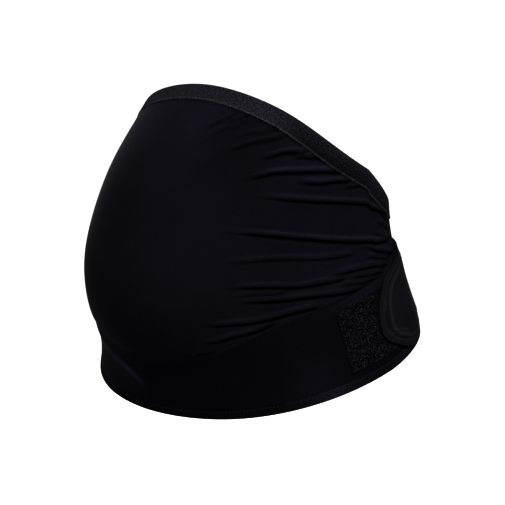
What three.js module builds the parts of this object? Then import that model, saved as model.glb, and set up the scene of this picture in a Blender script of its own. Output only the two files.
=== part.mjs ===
// Maternity support belt, in the form it has when worn: a stretch tube with a domed belly panel that is
// gathered at the sides, an elastic top edge, a firm band under the belly, and a back belt whose two
// rounded ends close over loop patches at the hips.
// Millimetres, +Z up, the belly towards -Y and the wearer's left towards +X.
// The origin is on the wearer's axis, a third of the way up the front.
// Angles are in degrees round that axis: 0 at the front, 90 at the wearer's left, 180 at the back.
import * as THREE from 'three';

// Form of the body that the belt is worn on
const HIP_HALF_WIDTH = 184.5;
const BELLY_REACH = 189.5;
const BACK_REACH = 134;
const FRONT_HEIGHT = 316;

// Edges and seams
const ELASTIC_WIDTH = 17;
const HEM_WIDTH = 9;
const SIDE_SEAM_ANGLE = 118;
const GATHER_ANGLE = 32;
const SEAM_GAP = 0.4;
const LAYER_GAP = 0.35;

// Cloth
const PANEL_THICKNESS = 1.6;
const BAND_THICKNESS = 2.4;
const ELASTIC_THICKNESS = 2.6;
const HEM_THICKNESS = 3;
const CREASE_DEPTH = 4;
const CREASE_WIDTH_ABOVE = 7;
const CREASE_WIDTH_BELOW = 24;
const CREASE_FADE_ANGLE = 35;
const FOLD_LIFT = 3;
const FOLD_SPREAD = 5;
const FOLD_STACK_LIMIT = 1.2;
const SEWN_DOWN_SHARE = 0.06;
const STRIP_ROUNDING = 1;

// Back belt and its closure
const BELT_THICKNESS = 3.4;
const BORDER_THICKNESS = 2.2;
const BORDER_WIDTH = 8;
const PAD_RISE = 2.5;
const TAB_TIP_ANGLE = 88;
const TAB_TOP_RUN = 16;
const TAB_CORNER_RUN = 9;
const TAB_SLOPE_END = 36;
const TAB_OVERLAP = 2;
const TAB_TIP_SHARE = 0.62;
const BELT_LOW_SHARE = 0.06;
const BELT_HIGH_SHARE = 1.12;
const BELT_BACK_SHARE = 0.98;
const LOOP_THICKNESS = 1.5;
const LOOP_START_ANGLE = 73.5;
const LOOP_END_ANGLE = 106;
const LOOP_LOW_SHARE = 0.08;
const LOOP_HIGH_SHARE = 0.93;
const HOOK_THICKNESS = 1;
const HOOK_INSET_ANGLE = 5;
const HOOK_END_ANGLE = 105;
const HOOK_LOW_SHARE = 0.28;
const HOOK_HIGH_SHARE = 0.8;

// Looks of the cloths
const STRETCH_KNIT = { color: 0x0c0b10, roughness: 0.62 };
const FIRM_KNIT = { color: 0x0a090e, roughness: 0.6 };
const BRUSHED_ELASTIC = { color: 0x17161b, roughness: 0.85 };
const HEM_RIB = { color: 0x0e0d12, roughness: 0.7 };
const LOOP_PILE = { color: 0x141319, roughness: 0.95 };
const HOOK_TAPE = { color: 0x101014, roughness: 0.95 };
const PADDED_CLOTH = { color: 0x121116, roughness: 0.65 };

// Level sections of the body at even steps of height, from just below the lowest edge to just above the
// highest: half width, reach to the front and reach to the back, as shares of the three sizes above.
const SECTIONS = [
  { width: 1.08, front: 0.73, back: 0.98 },
  { width: 1.04, front: 0.775, back: 1.0 },
  { width: 0.99, front: 0.77, back: 0.98 },
  { width: 0.96, front: 0.9, back: 0.91 },
  { width: 0.9, front: 0.975, back: 0.8 },
  { width: 0.87, front: 0.995, back: 0.7 },
  { width: 0.82, front: 0.97, back: 0.65 },
  { width: 0.8, front: 0.9, back: 0.64 },
  { width: 0.8, front: 0.79, back: 0.63 },
  { width: 0.8, front: 0.605, back: 0.65 },
  { width: 0.77, front: 0.41, back: 0.7 },
  { width: 0.74, front: 0.31, back: 0.72 },
];

// Heights of the bottom edge, of the seam over the under-belly band and of the top edge, as shares of
// the front height, a row for every 15 degrees from the front to the back. Both sides are alike.
const EDGES = [
  { bottom: 0.004, seam: 0.143, top: 0.988 },
  { bottom: 0.01, seam: 0.166, top: 0.98 },
  { bottom: 0.024, seam: 0.213, top: 0.96 },
  { bottom: 0.05, seam: 0.279, top: 0.93 },
  { bottom: 0.085, seam: 0.336, top: 0.885 },
  { bottom: 0.124, seam: 0.374, top: 0.825 },
  { bottom: 0.164, seam: 0.431, top: 0.756 },
  { bottom: 0.202, seam: 0.485, top: 0.69 },
  { bottom: 0.228, seam: 0.51, top: 0.642 },
  { bottom: 0.236, seam: 0.517, top: 0.62 },
  { bottom: 0.238, seam: 0.52, top: 0.614 },
  { bottom: 0.236, seam: 0.523, top: 0.616 },
  { bottom: 0.234, seam: 0.523, top: 0.618 },
];

// Folds of the gathered sides, from the top down. Each runs from one angle to another; start and end are
// where its line begins and stops, as shares of the panel's height there; bow is how far the middle of the
// line is off the straight, as a share of the same height; lift is a share of FOLD_LIFT.
const FOLDS = [
  { from: 10, to: 22, start: 0.94, end: 1.0, bow: 0, lift: 0.4 },
  { from: 17, to: 31, start: 0.9, end: 1.0, bow: 0, lift: 0.4 },
  { from: 30, to: 52, start: 0.86, end: 1.01, bow: 0, lift: 0.6 },
  { from: 50, to: 64, start: 0.88, end: 1.02, bow: 0, lift: 0.6 },
  { from: 42, to: 76, start: 0.74, end: 0.98, bow: 0.02, lift: 1.0 },
  { from: 62, to: 83, start: 0.81, end: 1.0, bow: 0, lift: 0.8 },
  { from: 46, to: 107, start: 0.69, end: 0.9, bow: -0.04, lift: 1.0 },
  { from: 35, to: 105, start: 0.56, end: 0.37, bow: -0.02, lift: 1.0 },
  { from: 42, to: 88, start: 0.38, end: 0.31, bow: 0, lift: 0.6 },
  { from: 84, to: 108, start: 0.36, end: 0.06, bow: 0, lift: 0.8 },
  { from: 79, to: 97, start: 0.22, end: 0.07, bow: 0, lift: 0.7 },
  { from: 72, to: 89, start: 0.2, end: 0.1, bow: 0, lift: 0.6 },
  { from: 42, to: 87, start: 0.27, end: 0.14, bow: -0.02, lift: 0.9 },
  { from: 45, to: 84, start: 0.17, end: 0.02, bow: 0, lift: 1.0 },
  { from: 33, to: 70, start: 0.13, end: 0.03, bow: -0.02, lift: 0.9 },
  { from: 31, to: 58, start: 0.06, end: 0.02, bow: 0, lift: 0.8 },
];

const LOW_EDGE = -FRONT_HEIGHT / 3;
const SECTION_STEP = FRONT_HEIGHT / (SECTIONS.length - 2);
const SECTION_LOW = LOW_EDGE - SECTION_STEP / 2;
const EDGE_STEP = 180 / (EDGES.length - 1);

const { lerp, smoothstep, degToRad, radToDeg } = THREE.MathUtils;

// Value of a uniform cubic B-spline over the numbers given by valueAt(row), at a place counted in rows.
function spline(place, valueAt) {
  const row = Math.floor(place);
  const t = place - row;
  return ((1 - t) ** 3 * valueAt(row - 1)
    + (3 * t ** 3 - 6 * t ** 2 + 4) * valueAt(row)
    + (3 * t - 3 * t ** 3 + 3 * t ** 2 + 1) * valueAt(row + 1)
    + t ** 3 * valueAt(row + 2)) / 6;
}

// Share in the section table at a height. Past its ends the table goes on in a straight line.
function sectionShare(column, height) {
  const last = SECTIONS.length - 1;
  return spline((height - SECTION_LOW) / SECTION_STEP, (row) => {
    const inside = THREE.MathUtils.clamp(row, 0, last);
    const next = row < 0 ? 1 : last - 1;
    const edge = SECTIONS[inside][column];
    return edge + Math.abs(row - inside) * (edge - SECTIONS[next][column]);
  });
}

// Height of one of the edges at an angle. The table is mirrored at the front and at the back.
function edgeHeight(column, angle) {
  const last = EDGES.length - 1;
  const share = spline(Math.abs(angle) / EDGE_STEP, (row) => {
    const turned = Math.abs(row) % (2 * last);
    return EDGES[turned > last ? 2 * last - turned : turned][column];
  });
  return LOW_EDGE + FRONT_HEIGHT * share;
}

// Point of the body's surface, which is where the cloth's inner face lies.
function bodyPoint(angle, height) {
  const turn = degToRad(angle);
  const reach = Math.cos(turn) > 0
    ? BELLY_REACH * sectionShare('front', height)
    : BACK_REACH * sectionShare('back', height);
  const halfWidth = HIP_HALF_WIDTH * sectionShare('width', height);
  return new THREE.Vector3(halfWidth * Math.sin(turn), -reach * Math.cos(turn), height);
}

function bodyNormal(angle, height) {
  const aside = bodyPoint(angle + 0.5, height).sub(bodyPoint(angle - 0.5, height));
  const up = bodyPoint(angle, height + 1).sub(bodyPoint(angle, height - 1));
  return aside.cross(up).normalize();
}

// How deep the cloth is pressed in at the crease between the belly and the band under it.
function creaseDepth(angle, height) {
  const aboveSeam = height - edgeHeight('seam', angle);
  const across = aboveSeam / (aboveSeam > 0 ? CREASE_WIDTH_ABOVE : CREASE_WIDTH_BELOW);
  const frontness = 1 - smoothstep(Math.abs(angle), CREASE_FADE_ANGLE, LOOP_START_ANGLE);
  return CREASE_DEPTH * frontness * Math.exp(-across * across);
}

// Point at a distance outside the body.
function clothPoint(angle, height, distance) {
  const away = distance - creaseDepth(angle, height);
  return bodyPoint(angle, height).addScaledVector(bodyNormal(angle, height), away);
}

// Height that a width measured square to an edge, along the cloth, takes up at an angle.
function heightOfWidth(width, column, angle) {
  const height = edgeHeight(column, angle);
  const rise = edgeHeight(column, angle + 1) - edgeHeight(column, angle - 1);
  const run = bodyPoint(angle + 1, height).distanceTo(bodyPoint(angle - 1, height));
  const slant = bodyPoint(angle, height + 1).distanceTo(bodyPoint(angle, height - 1)) / 2;
  return width * Math.hypot(1, rise / run) / slant;
}

// Levels of the rows between the hem and the seam, or between two shares of that height.
function bandLevels(angle, low = 0, high = 1) {
  return BAND_SHARES.filter((share) => share > low && share < high).map((share) => overBand(angle, share));
}

const hemTop = (angle) => edgeHeight('bottom', angle) + heightOfWidth(HEM_WIDTH, 'bottom', angle);
const elasticLow = (angle) => edgeHeight('top', angle) - heightOfWidth(ELASTIC_WIDTH, 'top', angle);
const panelLow = (angle) => edgeHeight('seam', angle) + heightOfWidth(SEAM_GAP / 2, 'seam', angle);
const panelHigh = (angle) => elasticLow(angle) - heightOfWidth(SEAM_GAP, 'top', angle);
const bandLow = (angle) => hemTop(angle) + heightOfWidth(SEAM_GAP, 'bottom', angle);
const bandHigh = (angle) => edgeHeight('seam', angle) - heightOfWidth(SEAM_GAP / 2, 'seam', angle);
const overBand = (angle, share) => lerp(hemTop(angle), edgeHeight('seam', angle), share);

// How far the gathers raise the panel at a share of its height.
function foldLift(angle, share) {
  const height = panelHigh(angle) - panelLow(angle);
  let lift = 0;
  for (const fold of FOLDS) {
    const along = (Math.abs(angle) - fold.from) / (fold.to - fold.from);
    if (along <= 0 || along >= 1) continue;
    const line = lerp(fold.start, fold.end, along) + fold.bow * 4 * along * (1 - along);
    const across = (share - line) * Math.max(height, 30 * FOLD_SPREAD) / FOLD_SPREAD;
    lift += fold.lift * Math.sin(Math.PI * along) ** 0.7 * Math.exp(-across * across);
  }
  const sewnDown = smoothstep(share, 0, SEWN_DOWN_SHARE) * smoothstep(1 - share, 0, SEWN_DOWN_SHARE);
  return FOLD_LIFT * Math.min(lift, FOLD_STACK_LIMIT) * sewnDown;
}

// Even steps from one number to another, both included.
function steps(from, to, count) {
  return Array.from({ length: count + 1 }, (_, i) => lerp(from, to, i / count));
}

// Columns of the cloth round the body, closer together in the gathered sides, and rows up the band and
// the panel, closer together where folds cross.
const FRONT_ANGLES = [
  ...steps(-SIDE_SEAM_ANGLE, -GATHER_ANGLE, 17),
  ...steps(-GATHER_ANGLE, GATHER_ANGLE, 9).slice(1, -1),
  ...steps(GATHER_ANGLE, SIDE_SEAM_ANGLE, 17),
];
const BACK_ANGLES = steps(SIDE_SEAM_ANGLE, 360 - SIDE_SEAM_ANGLE, 16);
const RING_ANGLES = [...FRONT_ANGLES, ...BACK_ANGLES.slice(1, -1)];
const BAND_SHARES = steps(1 / 6, 5 / 6, 4);
const PANEL_SHARES = [...steps(0, 0.4, 13), ...steps(0.46, 0.6, 2), ...steps(0.66, 1, 10)];

// A sheet of cloth over the body: at each angle, rowsAt gives rows { height, inner, outer } from the
// low edge to the high one, with the distances of the two faces from the body. A ring closes on itself.
function clothSheet(name, look, angles, rowsAt, ring = false) {
  const positions = [];
  const indices = [];
  const loops = angles.map((angle) => {
    const rows = rowsAt(angle);
    const inner = rows.map((row) => clothPoint(angle, row.height, row.inner));
    const outer = rows.map((row) => clothPoint(angle, row.height, row.outer)).reverse();
    return [...inner, ...outer];
  });
  const size = loops[0].length;
  loops.flat().forEach((point) => positions.push(point.x, point.y, point.z));
  const quad = (a, b, c, d) => indices.push(a, b, c, a, c, d);
  const spans = ring ? loops.length : loops.length - 1;
  for (let i = 0; i < spans; i += 1) {
    const here = i * size;
    const there = ((i + 1) % loops.length) * size;
    for (let j = 0; j < size; j += 1) {
      const next = (j + 1) % size;
      quad(here + j, here + next, there + next, there + j);
    }
  }
  if (!ring) {
    const lastLoop = (loops.length - 1) * size;
    for (let j = 0; j < size / 2 - 1; j += 1) {
      const across = size - 1 - j;
      quad(j, across, across - 1, j + 1);
      quad(lastLoop + j, lastLoop + j + 1, lastLoop + across - 1, lastLoop + across);
    }
  }
  const geometry = new THREE.BufferGeometry();
  geometry.setAttribute('position', new THREE.Float32BufferAttribute(positions, 3));
  geometry.setIndex(indices);
  geometry.computeVertexNormals();
  const material = new THREE.MeshStandardMaterial({ ...look, metalness: 0 });
  const mesh = new THREE.Mesh(geometry, material);
  mesh.name = name;
  return mesh;
}

// Values between two limits, with the limits themselves.
const within = (from, to, values) => [from, ...values.filter((v) => v > from && v < to), to];

// Rows of a flat strip with softly rounded long edges, starting at a distance from the body.
function stripRows(low, high, base, thickness, levels = []) {
  const round = Math.min(STRIP_ROUNDING, (high - low) / 4);
  const heights = [low, low + round, ...levels, high - round, high];
  return heights.map((height, i) => {
    const pinch = i === 0 || i === heights.length - 1 ? 0.25 * thickness : 0;
    return { height, inner: base + pinch, outer: base + thickness - pinch };
  });
}

// The columns of a panel, with both ends drawn in to leave half the gap of the side seam.
function betweenSeams(angles) {
  const turn = radToDeg(SEAM_GAP / 2 / HIP_HALF_WIDTH);
  return [angles[0] + turn, ...angles.slice(1, -1), angles.at(-1) - turn];
}

function bellyPanel() {
  return clothSheet('belly_panel', STRETCH_KNIT, betweenSeams(FRONT_ANGLES), (angle) => (
    PANEL_SHARES.map((share) => {
      const lift = foldLift(angle, share);
      const height = lerp(panelLow(angle), panelHigh(angle), share);
      return { height, inner: lift, outer: lift + PANEL_THICKNESS };
    })));
}

function backPanel() {
  return clothSheet('back_panel', STRETCH_KNIT, betweenSeams(BACK_ANGLES), (angle) => (
    stripRows(panelLow(angle), panelHigh(angle), 0, PANEL_THICKNESS)));
}

function topElastic() {
  return clothSheet('top_elastic', BRUSHED_ELASTIC, RING_ANGLES, (angle) => (
    stripRows(elasticLow(angle), edgeHeight('top', angle), 0, ELASTIC_THICKNESS)), true);
}

function lowerBand() {
  return clothSheet('lower_band', FIRM_KNIT, RING_ANGLES, (angle) => (
    stripRows(bandLow(angle), bandHigh(angle), 0, BAND_THICKNESS, bandLevels(angle))), true);
}

function bottomHem() {
  return clothSheet('bottom_hem', HEM_RIB, RING_ANGLES, (angle) => (
    stripRows(edgeHeight('bottom', angle), hemTop(angle), 0, HEM_THICKNESS)), true);
}

// Distances from the body of the layers of the closure
const LOOP_BASE = BAND_THICKNESS + LAYER_GAP;
const HOOK_BASE = LOOP_BASE + LOOP_THICKNESS + LAYER_GAP;
const CLOSED_BELT_BASE = HOOK_BASE + HOOK_THICKNESS + LAYER_GAP;
const BACK_BELT_BASE = Math.max(BAND_THICKNESS, PANEL_THICKNESS) + LAYER_GAP;

// A patch on one hip, between two angles and two shares of the band's height.
function hipPatch(name, look, side, angles, shares, base, thickness) {
  const onLeft = within(angles.from, angles.to, FRONT_ANGLES);
  const columns = side > 0 ? onLeft : onLeft.map((angle) => -angle).reverse();
  return clothSheet(name, look, columns, (angle) => {
    const low = overBand(angle, shares.low);
    const high = overBand(angle, shares.high);
    return stripRows(low, high, base, thickness, bandLevels(angle, shares.low, shares.high));
  });
}

function loopPatch(name, side) {
  const angles = { from: LOOP_START_ANGLE, to: LOOP_END_ANGLE };
  const shares = { low: LOOP_LOW_SHARE, high: LOOP_HIGH_SHARE };
  return hipPatch(name, LOOP_PILE, side, angles, shares, LOOP_BASE, LOOP_THICKNESS);
}

function hookPatch(name, side) {
  const angles = { from: TAB_TIP_ANGLE + HOOK_INSET_ANGLE, to: HOOK_END_ANGLE };
  const shares = { low: HOOK_LOW_SHARE, high: HOOK_HIGH_SHARE };
  return hipPatch(name, HOOK_TAPE, side, angles, shares, HOOK_BASE, HOOK_THICKNESS);
}

// Turn from the nearer end of the back belt.
const turnFromTip = (angle) => Math.min(angle - TAB_TIP_ANGLE, 360 - TAB_TIP_ANGLE - angle);

// Outline of the back belt: its ends start at a point of the band's height and open out to both edges,
// in a long slant above and a round corner below.
const opened = (turn, run) => Math.sqrt(1 - (1 - Math.min(1, turn / run)) ** 2);

function beltLow(angle) {
  const open = opened(turnFromTip(angle), TAB_CORNER_RUN);
  return overBand(angle, lerp(TAB_TIP_SHARE, BELT_LOW_SHARE, open));
}

function beltHigh(angle) {
  const turn = turnFromTip(angle);
  const full = lerp(BELT_HIGH_SHARE, BELT_BACK_SHARE, smoothstep(turn, TAB_CORNER_RUN, TAB_SLOPE_END));
  return overBand(angle, lerp(TAB_TIP_SHARE, full, opened(turn, TAB_TOP_RUN)));
}

// The belt is a flat border round a padded middle, and comes down to the cloth behind the closure.
function beltRows(angle) {
  const low = beltLow(angle);
  const high = beltHigh(angle);
  const turn = turnFromTip(angle);
  const closed = 1 - smoothstep(turn, LOOP_END_ANGLE + TAB_OVERLAP - TAB_TIP_ANGLE, TAB_SLOPE_END);
  const base = lerp(BACK_BELT_BASE, CLOSED_BELT_BASE, closed);
  const fromTip = degToRad(turn) * HIP_HALF_WIDTH;
  const raised = smoothstep(fromTip, BORDER_WIDTH, BORDER_WIDTH + PAD_RISE);
  const pad = lerp(BORDER_THICKNESS, BELT_THICKNESS, raised);
  const border = Math.min(BORDER_WIDTH, 0.2 * (high - low));
  const rise = Math.min(PAD_RISE, 0.1 * (high - low));
  const padLow = low + border + rise;
  const padHigh = high - border - rise;
  const row = (height, thickness, pinch = 0) => (
    { height, inner: base + pinch, outer: base + thickness - pinch });
  const edge = 0.25 * BORDER_THICKNESS;
  return [
    row(low, BORDER_THICKNESS, edge),
    row(low + border / 4, BORDER_THICKNESS),
    row(low + border, BORDER_THICKNESS),
    ...steps(padLow, padHigh, 4).map((height) => row(height, pad)),
    row(high - border, BORDER_THICKNESS),
    row(high - border / 4, BORDER_THICKNESS),
    row(high, BORDER_THICKNESS, edge),
  ];
}

function backBelt() {
  const tip = [0.2, 0.6, 1.2, 2, 3, 4.2, 6].map((turn) => TAB_TIP_ANGLE + turn);
  const leftSide = [...tip, ...FRONT_ANGLES.filter((angle) => angle > tip.at(-1) + 2)];
  const rightSide = leftSide.map((angle) => 360 - angle).reverse();
  const angles = [...leftSide, ...BACK_ANGLES.slice(1, -1), ...rightSide];
  return clothSheet('back_belt', PADDED_CLOTH, angles, beltRows);
}

const belt = new THREE.Group();
belt.add(
  bellyPanel(),
  backPanel(),
  topElastic(),
  lowerBand(),
  bottomHem(),
  loopPatch('loop_patch_left', 1),
  loopPatch('loop_patch_right', -1),
  hookPatch('hook_patch_left', 1),
  hookPatch('hook_patch_right', -1),
  backBelt(),
);

export default belt;
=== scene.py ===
"""Maternity support belt: the visual model over the CAD frame."""
import math

import bpy
import numpy as np
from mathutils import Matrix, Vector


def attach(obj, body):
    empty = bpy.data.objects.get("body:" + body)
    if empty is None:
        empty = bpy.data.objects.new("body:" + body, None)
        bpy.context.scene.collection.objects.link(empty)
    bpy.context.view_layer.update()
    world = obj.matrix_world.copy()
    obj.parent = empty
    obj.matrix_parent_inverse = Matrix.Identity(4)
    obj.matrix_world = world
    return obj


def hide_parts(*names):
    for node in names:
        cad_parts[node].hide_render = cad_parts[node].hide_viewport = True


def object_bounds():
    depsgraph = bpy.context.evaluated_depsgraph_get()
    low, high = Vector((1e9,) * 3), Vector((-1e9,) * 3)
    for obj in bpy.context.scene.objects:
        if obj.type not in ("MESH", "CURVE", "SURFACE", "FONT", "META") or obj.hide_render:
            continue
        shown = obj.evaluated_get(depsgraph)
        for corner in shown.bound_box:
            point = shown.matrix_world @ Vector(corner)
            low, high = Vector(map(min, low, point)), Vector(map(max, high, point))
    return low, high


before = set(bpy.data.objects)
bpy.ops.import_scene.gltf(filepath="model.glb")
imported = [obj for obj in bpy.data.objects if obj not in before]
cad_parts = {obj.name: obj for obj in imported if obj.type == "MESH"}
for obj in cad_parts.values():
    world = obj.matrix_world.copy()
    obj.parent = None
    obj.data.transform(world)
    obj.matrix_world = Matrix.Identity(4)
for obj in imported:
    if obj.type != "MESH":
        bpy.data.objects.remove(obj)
cad_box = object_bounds()

MM = 0.001

# ---------------------------------------------------------------- camera
CAM_AZIMUTH, CAM_ELEVATION = math.radians(50.1), math.radians(9.72)
CAM_DISTANCE, CAM_SIDE, CAM_LIFT = 2.2, -0.01293, 0.03433
FOCAL_SHARE = 2200 / 505
SENSOR_MM = 36.0

back = np.array([
    math.sin(CAM_AZIMUTH) * math.cos(CAM_ELEVATION),
    -math.cos(CAM_AZIMUTH) * math.cos(CAM_ELEVATION),
    math.sin(CAM_ELEVATION),
])
right = np.array([math.cos(CAM_AZIMUTH), math.sin(CAM_AZIMUTH), 0.0])
up = np.cross(back, right)
camera_data = bpy.data.cameras.new("camera")
camera_data.sensor_width = SENSOR_MM
camera_data.lens = FOCAL_SHARE * SENSOR_MM
camera_data.clip_end = 100
camera = bpy.data.objects.new("camera", camera_data)
bpy.context.scene.collection.objects.link(camera)
camera.location = back * CAM_DISTANCE + right * CAM_SIDE + up * CAM_LIFT
camera.rotation_euler = (math.pi / 2 - CAM_ELEVATION, 0, CAM_AZIMUTH)
bpy.context.scene.camera = camera

# ---------------------------------------------------------------- form of the belt, in mm and degrees
# The torso, seams and layers are the CAD source's. The folds and the belt's closed ends are drawn finer here.
HIP_HALF_WIDTH, BELLY_REACH, BACK_REACH, FRONT_HEIGHT = 184.5, 189.5, 134.0, 316.0
ELASTIC_WIDTH, HEM_WIDTH, SIDE_SEAM, SEAM_TUCK, LAYER_GAP = 17.0, 9.0, 118.0, 0.5, 0.35
PANEL_T, BAND_T, ELASTIC_T, HEM_T = 1.6, 2.4, 2.6, 3.0
CREASE_DEPTH, CREASE_ABOVE, CREASE_BELOW, CREASE_FADE = 4.0, 7.0, 24.0, 35.0
BELT_T, BORDER_T, BORDER_W, PAD_RISE, BORDER_GROOVE_IN = 3.4, 2.2, 8.0, 2.5, 0.6
LOOP_T, LOOP_FROM, LOOP_TO, LOOP_LOW, LOOP_HIGH = 1.5, 73.5, 106.0, 0.08, 0.93
HOOK_T, HOOK_FROM, HOOK_TO, HOOK_LOW, HOOK_HIGH = 1.0, 93.0, 105.0, 0.28, 0.8
LOOP_BASE = BAND_T + LAYER_GAP
HOOK_BASE = LOOP_BASE + LOOP_T + LAYER_GAP
CLOSED_BASE = HOOK_BASE + HOOK_T + LAYER_GAP
BACK_BASE = BAND_T + LAYER_GAP
# Outline of the belt: angle of its tips, angles over which its edges open, and shares of the band's height
TIP, TOP_RUN, CORNER_RUN, SLOPE_END = 87.0, 7.0, 3.0, 36.0
TIP_SHARE, BELT_LOW, BELT_HIGH = 0.41, 0.05, 0.98
TAB_LOW, TAB_DIP, TAB_TILT_RUN, TAB_TILT_POWER = 0.29, -0.04, 20.0, 1.6
# Two sewn rows across each closed end: share of the band's height at one angle, slope, spacing and extent
TAB_ROWS = range(2)
TAB_ROW_SHARE, TAB_ROW_TURN, TAB_ROW_SLOPE, TAB_ROW_GAP = 0.28, 8.6, 0.0153, 0.047
TAB_ROW_FROM, TAB_ROW_TO, TAB_ROW_WIDTH, TAB_ROW_DEPTH = 4.8, 13.8, 0.013, 0.2
# Across a fold, in mm above the middle of its roll: the roll, its foot, the nip below it, the painted shade in its
# crease and the painted highlight on its crest
FOLD_LIFT, FOLD_MOST, FOLD_MIDDLE, FOLD_RISE, FOLD_DROP = 3.3, 4.2, 1.5, 2.7, 0.75
FOOT_LIFT, FOOT_AT, FOOT_WIDTH = 0.16, -6, 2.6
NIP_DEPTH, NIP_AT, NIP_WIDTH = 0.32, -1.9, 0.8
SHADOW, SHADOW_AT, SHADOW_RISE, SHADOW_DROP = 1.1, -1.5, 2.2, 1.2
CREST, CREST_HIGHER_UP, CREST_AT, CREST_WIDTH = 0.5, 0.45, 3.8, 1.8
# Drag fold of the band: its line in shares of the band's height, its lift, and the angles where it starts and ends
DRAG_SHARE, DRAG_FALL, DRAG_KNEE, DRAG_RUN = 0.75, 0.29, -31, 28
DRAG_LIFT, DRAG_RISE, DRAG_DROP, DRAG_FROM, DRAG_FULL = 3.0, 3.0, 9.0, -75, -40

SECTIONS = {
    "width": [1.08, 1.04, 0.99, 0.96, 0.9, 0.87, 0.82, 0.8, 0.8, 0.8, 0.77, 0.74],
    "front": [0.73, 0.775, 0.77, 0.9, 0.975, 0.995, 0.97, 0.9, 0.79, 0.605, 0.41, 0.31],
    "back": [0.98, 1.0, 0.98, 0.91, 0.8, 0.7, 0.65, 0.64, 0.63, 0.65, 0.7, 0.72],
}
EDGES = {
    "bottom": [0.004, 0.01, 0.024, 0.05, 0.085, 0.124, 0.164, 0.202, 0.228, 0.236, 0.238, 0.236, 0.234],
    "seam": [0.143, 0.166, 0.213, 0.279, 0.336, 0.374, 0.431, 0.485, 0.51, 0.517, 0.52, 0.523, 0.523],
    "top": [0.988, 0.98, 0.96, 0.93, 0.885, 0.825, 0.756, 0.69, 0.642, 0.62, 0.614, 0.616, 0.618],
}
# Folds: from angle, to angle, share of the panel's height at the start, middle and end, strength
FOLDS = [
    (22, 31, 0.930, 0.968, 1.000, 0.50), (15, 25, 0.907, 0.946, 0.990, 0.50), (28, 51, 0.846, 0.903, 0.990, 0.60),
    (44, 63, 0.848, 0.914, 0.990, 0.90), (57, 69, 0.905, 0.956, 1.000, 0.80), (41, 79, 0.745, 0.851, 1.000, 1.10),
    (61, 83, 0.795, 0.866, 0.990, 0.95), (46, 114, 0.681, 0.765, 1.000, 0.90), (79, 87, 0.885, 0.932, 0.995, 0.60),
    (18, 32, 0.880, 0.925, 0.975, 0.45), (30, 46, 0.900, 0.945, 0.990, 0.35), (12, 21, 0.880, 0.920, 0.960, 0.35),
    (38, 110, 0.520, 0.451, 0.342, 1.00), (40, 84, 0.385, 0.346, 0.317, 0.48), (85, 110, 0.365, 0.233, 0.000, 0.80),
    (72, 101, 0.202, 0.158, 0.000, 0.75), (79, 95, 0.137, 0.085, 0.007, 0.65), (76, 90, 0.108, 0.060, 0.010, 0.55),
    (41, 80, 0.272, 0.192, 0.142, 0.85), (43, 85, 0.183, 0.106, 0.005, 0.95), (31, 70, 0.138, 0.062, 0.020, 1.05),
    (29, 55, 0.074, 0.036, 0.020, 0.90), (20, 32, 0.040, 0.024, 0.020, 0.35), (86, 100, 0.266, 0.201, 0.112, 0.50),
    (43, 60, 0.226, 0.190, 0.163, 0.30), (92, 112, 0.520, 0.450, 0.350, 0.45), (96, 113, 0.700, 0.640, 0.560, 0.40),
    (98, 114, 0.860, 0.820, 0.760, 0.40), (94, 110, 0.130, 0.090, 0.040, 0.50),
]
# Soft patches of painted shade on the dome: strength, angle, its spread, edge to measure from, mm from it, spread in
# mm
PANEL_LOBES = [
    (0.22, 40, 13, "top", 52, 30), (0.20, -6, 13, "seam", 62, 45), (0.14, 58, 13, "seam", 70, 45),
]
# Painted shade of a cloth, from a lit crest over 0, its plain colour, to a deep crease, and the factors for both ends
SHADE_LIGHT, SHADE_DEEP, FACTOR_LIGHT, FACTOR_DEEP = -7, 1, 7.3, 0.1

LOW_EDGE = -FRONT_HEIGHT / 3
SECTION_STEP = FRONT_HEIGHT / (len(SECTIONS["width"]) - 2)
SECTION_LOW = LOW_EDGE - SECTION_STEP / 2
EDGE_STEP = 180 / (len(EDGES["top"]) - 1)


def smooth(x, low, high):
    t = np.clip((x - low) / (high - low), 0, 1)
    return t * t * (3 - 2 * t)


def mix(a, b, t):
    return a + (b - a) * t


def bell(x, centre, width):
    return np.exp(-((x - centre) / width) ** 2)


def spline(place, value_at):
    row = np.floor(place).astype(int)
    t = place - row
    return ((1 - t) ** 3 * value_at(row - 1) + (3 * t**3 - 6 * t**2 + 4) * value_at(row)
            + (3 * t - 3 * t**3 + 3 * t**2 + 1) * value_at(row + 1) + t**3 * value_at(row + 2)) / 6


def section(column, z):
    """Share of the torso's half width or reach at a height, carried on straight past the table's ends."""
    table = np.array(SECTIONS[column])
    last = len(table) - 1

    def value(row):
        inside = np.clip(row, 0, last)
        beside = np.where(row < 0, 1, last - 1)
        return table[inside] + np.abs(row - inside) * (table[inside] - table[beside])
    return spline((z - SECTION_LOW) / SECTION_STEP, value)


def edge(column, phi):
    """Height of a seam or edge at an angle, alike on both sides."""
    table = np.array(EDGES[column])
    last = len(table) - 1

    def value(row):
        turned = np.abs(row) % (2 * last)
        return table[np.where(turned > last, 2 * last - turned, turned)]
    return LOW_EDGE + FRONT_HEIGHT * spline(np.abs(phi) / EDGE_STEP, value)


def body(phi, z):
    """Point of the bare torso at an angle from the front and a height."""
    turn = np.radians(phi)
    reach = np.where(np.cos(turn) > 0, BELLY_REACH * section("front", z), BACK_REACH * section("back", z))
    return np.stack([HIP_HALF_WIDTH * section("width", z) * np.sin(turn), -reach * np.cos(turn), z], -1)


def normal(phi, z):
    n = np.cross(body(phi + 0.5, z) - body(phi - 0.5, z), body(phi, z + 1) - body(phi, z - 1))
    return n / np.linalg.norm(n, axis=-1, keepdims=True)


def turned(phi):
    """Angle to the front, from 0 to 180, on either side."""
    return 180 - np.abs(np.abs(phi) % 360 - 180)


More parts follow.
